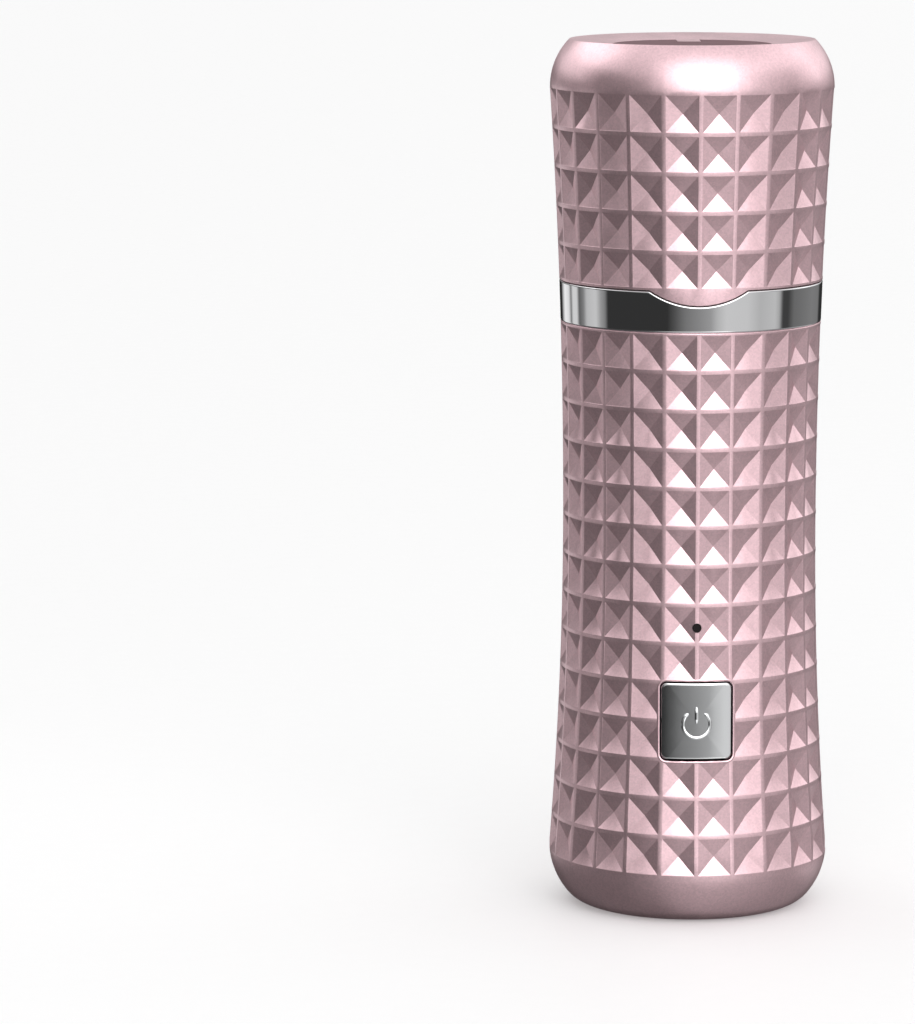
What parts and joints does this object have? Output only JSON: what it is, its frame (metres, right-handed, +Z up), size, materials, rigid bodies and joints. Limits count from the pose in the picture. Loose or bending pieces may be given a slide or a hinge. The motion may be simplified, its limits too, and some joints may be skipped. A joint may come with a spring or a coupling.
{
  "type": "electric hair remover",
  "caption": "Pocket rotary hair remover with a waisted, diamond-cut handle and matching pull-off cap over a chromed head, a slotted round foil and a spinning cutter.",
  "frame": {"origin": "centre of the flat foot, on the surface the handle stands on", "axes": "+Z up the long axis, -Y out of the power button, +X to the right of the button seen from the front"},
  "size_m": [0.039, 0.039, 0.12],
  "materials": {
    "rose_paint": "satin metallic paint",
    "rose_plastic": "satin",
    "disc_plastic": "satin",
    "chrome_plate": "polished",
    "neck_plating": "chrome-plated plastic",
    "button_metal": "dark polished",
    "grey_silicone": "soft satin",
    "black_rubber": "matte",
    "screw_steel": "zinc plated",
    "frame_plastic": "moulded",
    "black_plastic": "moulded",
    "white_plastic": "moulded",
    "head_plastic": "moulded",
    "liner_plastic": "smooth",
    "cell_wrap": "shrink sleeve",
    "nickel_strip": "rolled",
    "copper": "bright",
    "board_green": "solder mask",
    "socket_steel": "drawn",
    "clear_plastic": "clear",
    "zinc_steel": "drawn",
    "ferrite": "sintered",
    "brass_bush": "sintered",
    "red_wire": "smooth",
    "shaft_steel": "ground",
    "core_steel": "laminated",
    "spring_steel": "drawn",
    "foil_steel": "satin",
    "blade_steel": "ground"
  },
  "bodies": {
    "handle": {"handle_housing": "rose_paint", "base_cover": "rose_plastic", "base_screw": "screw_steel", "bezel_ring": "chrome_plate", "chassis": "frame_plastic", "battery_cell": "cell_wrap", "battery_tabs": "nickel_strip", "circuit_board": "board_green", "board_screws": "screw_steel", "board_components": "black_plastic", "charging_socket_shell": "socket_steel", "charging_socket_tongue": "black_plastic", "button_gasket": "grey_silicone", "switch_body": "black_plastic", "indicator_led": "white_plastic", "light_pipe": "clear_plastic", "motor_can": "zinc_steel", "motor_end_cap": "black_plastic", "motor_terminals": "copper", "motor_brushes": "copper", "motor_magnets": "ferrite", "motor_screws": "screw_steel", "motor_bushes": "brass_bush", "motor_lead_red": "red_wire", "motor_lead_black": "black_rubber", "neck_sleeve": "neck_plating", "neck_seal": "grey_silicone", "shaft_seal": "black_rubber"},
    "rotor": {"motor_shaft": "shaft_steel", "armature": "core_steel", "commutator": "copper", "drive_spindle": "white_plastic", "drive_spring": "spring_steel"},
    "head": {"head_cover": "chrome_plate", "head_insert": "head_plastic", "cutter_retainer": "head_plastic"},
    "foil": {"foil_guard": "foil_steel", "foil_carrier": "head_plastic"},
    "cutter": {"cutter_blade": "blade_steel", "cutter_hub": "white_plastic"},
    "button": {"power_button": "button_metal"},
    "plunger": {"switch_plunger": "white_plastic"},
    "cap": {"cap_shell": "rose_paint", "cap_liner": "liner_plastic", "cap_top_disc": "disc_plastic"}
  },
  "joints": [
    {"name": "head_pull", "type": "slide", "parent": "handle", "child": "head", "axis": [0, 0, 1], "range_m": [0, 0.012]},
    {"name": "cap_pull", "type": "slide", "parent": "head", "child": "cap", "axis": [0, 0, 1], "range_m": [0, 0.036]},
    {"name": "foil_float", "type": "slide", "parent": "head", "child": "foil", "axis": [0, 0, 1], "range_m": [-0.0008, 0], "stiffness_N_per_m": 300, "springref_m": 0.003, "deforming": ["drive_spring"]},
    {"name": "rotor_spin", "type": "hinge", "parent": "handle", "child": "rotor", "pos_m": [0, 0, 0.0746], "axis": [0, 0, 1], "continuous": true},
    {"name": "cutter_spin", "type": "hinge", "parent": "foil", "child": "cutter", "pos_m": [0, 0, 0.1097], "axis": [0, 0, 1], "continuous": true},
    {"name": "button_press", "type": "slide", "parent": "handle", "child": "button", "axis": [0, 1, 0], "range_m": [0, 0.0005], "stiffness_N_per_m": 1000, "springref_m": -0.001},
    {"name": "plunger_press", "type": "slide", "parent": "handle", "child": "plunger", "axis": [0, 1, 0], "range_m": [0, 0.0005]}
  ],
  "couplings": [
    {"joint": "cutter_spin", "follows": "rotor_spin", "ratio": 1},
    {"joint": "plunger_press", "follows": "button_press", "ratio": 1}
  ]
}
